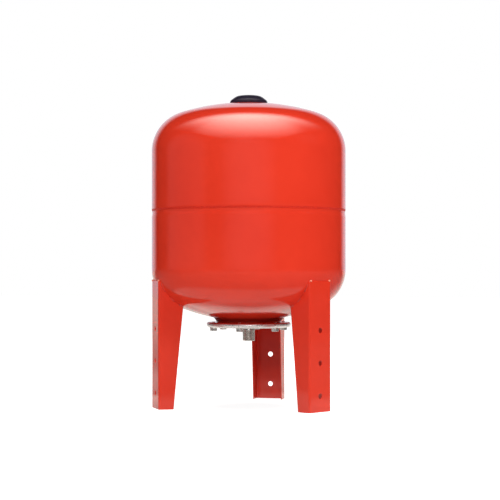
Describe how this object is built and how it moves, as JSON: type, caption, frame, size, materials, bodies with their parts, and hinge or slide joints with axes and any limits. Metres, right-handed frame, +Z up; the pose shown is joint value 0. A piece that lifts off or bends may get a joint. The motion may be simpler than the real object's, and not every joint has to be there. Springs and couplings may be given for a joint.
{
  "type": "expansion tank",
  "caption": "Vertical steel expansion vessel on folded sheet legs, with a flanged water port below, a rubber bladder inside and an air valve under a cover on top.",
  "frame": {"origin": "on the floor, on the tank's axis, between the three feet", "axes": "+Z up along the tank's axis; +Y towards the rear leg; the other two legs stand at 60 degrees either side of -Y"},
  "size_m": [0.402, 0.402, 0.6414],
  "materials": {
    "tank_paint": "gloss",
    "flange_zinc": "zinc plated, satin",
    "port_steel": "turned, bright",
    "bolt_zinc": "zinc plated",
    "valve_brass": "turned",
    "spring_steel": "bright",
    "seal_rubber": "matt",
    "cover_black": "fine satin"
  },
  "bodies": {
    "tank": {"upper_shell": "tank_paint", "lower_shell": "tank_paint", "girth_weld": "tank_paint", "neck_collar": "tank_paint", "collar_weld": "tank_paint", "rear_leg": "tank_paint", "left_leg": "tank_paint", "right_leg": "tank_paint", "rear_leg_welds": "tank_paint", "left_leg_welds": "tank_paint", "right_leg_welds": "tank_paint", "counter_flange": "flange_zinc", "nipple_weld": "flange_zinc", "water_nipple": "port_steel", "flange_bolts": "bolt_zinc", "flange_washers": "bolt_zinc", "valve_nut": "bolt_zinc", "valve_washer": "bolt_zinc", "valve_stem": "valve_brass", "core_body": "valve_brass", "core_spring": "spring_steel", "bladder": "seal_rubber", "valve_grommet": "seal_rubber", "core_seal": "seal_rubber"},
    "cover": {"valve_cover": "cover_black"},
    "valve_pin": {"core_pin": "valve_brass", "core_pin_seal": "seal_rubber"}
  },
  "joints": [
    {"name": "cover_lift", "type": "slide", "parent": "tank", "child": "cover", "axis": [0, 0, 1], "range_m": [0, 0.08]},
    {"name": "pin_press", "type": "slide", "parent": "tank", "child": "valve_pin", "axis": [0, 0, -1], "range_m": [0, 0.0012], "stiffness_N_per_m": 1000, "deforming": ["core_spring"]}
  ]
}
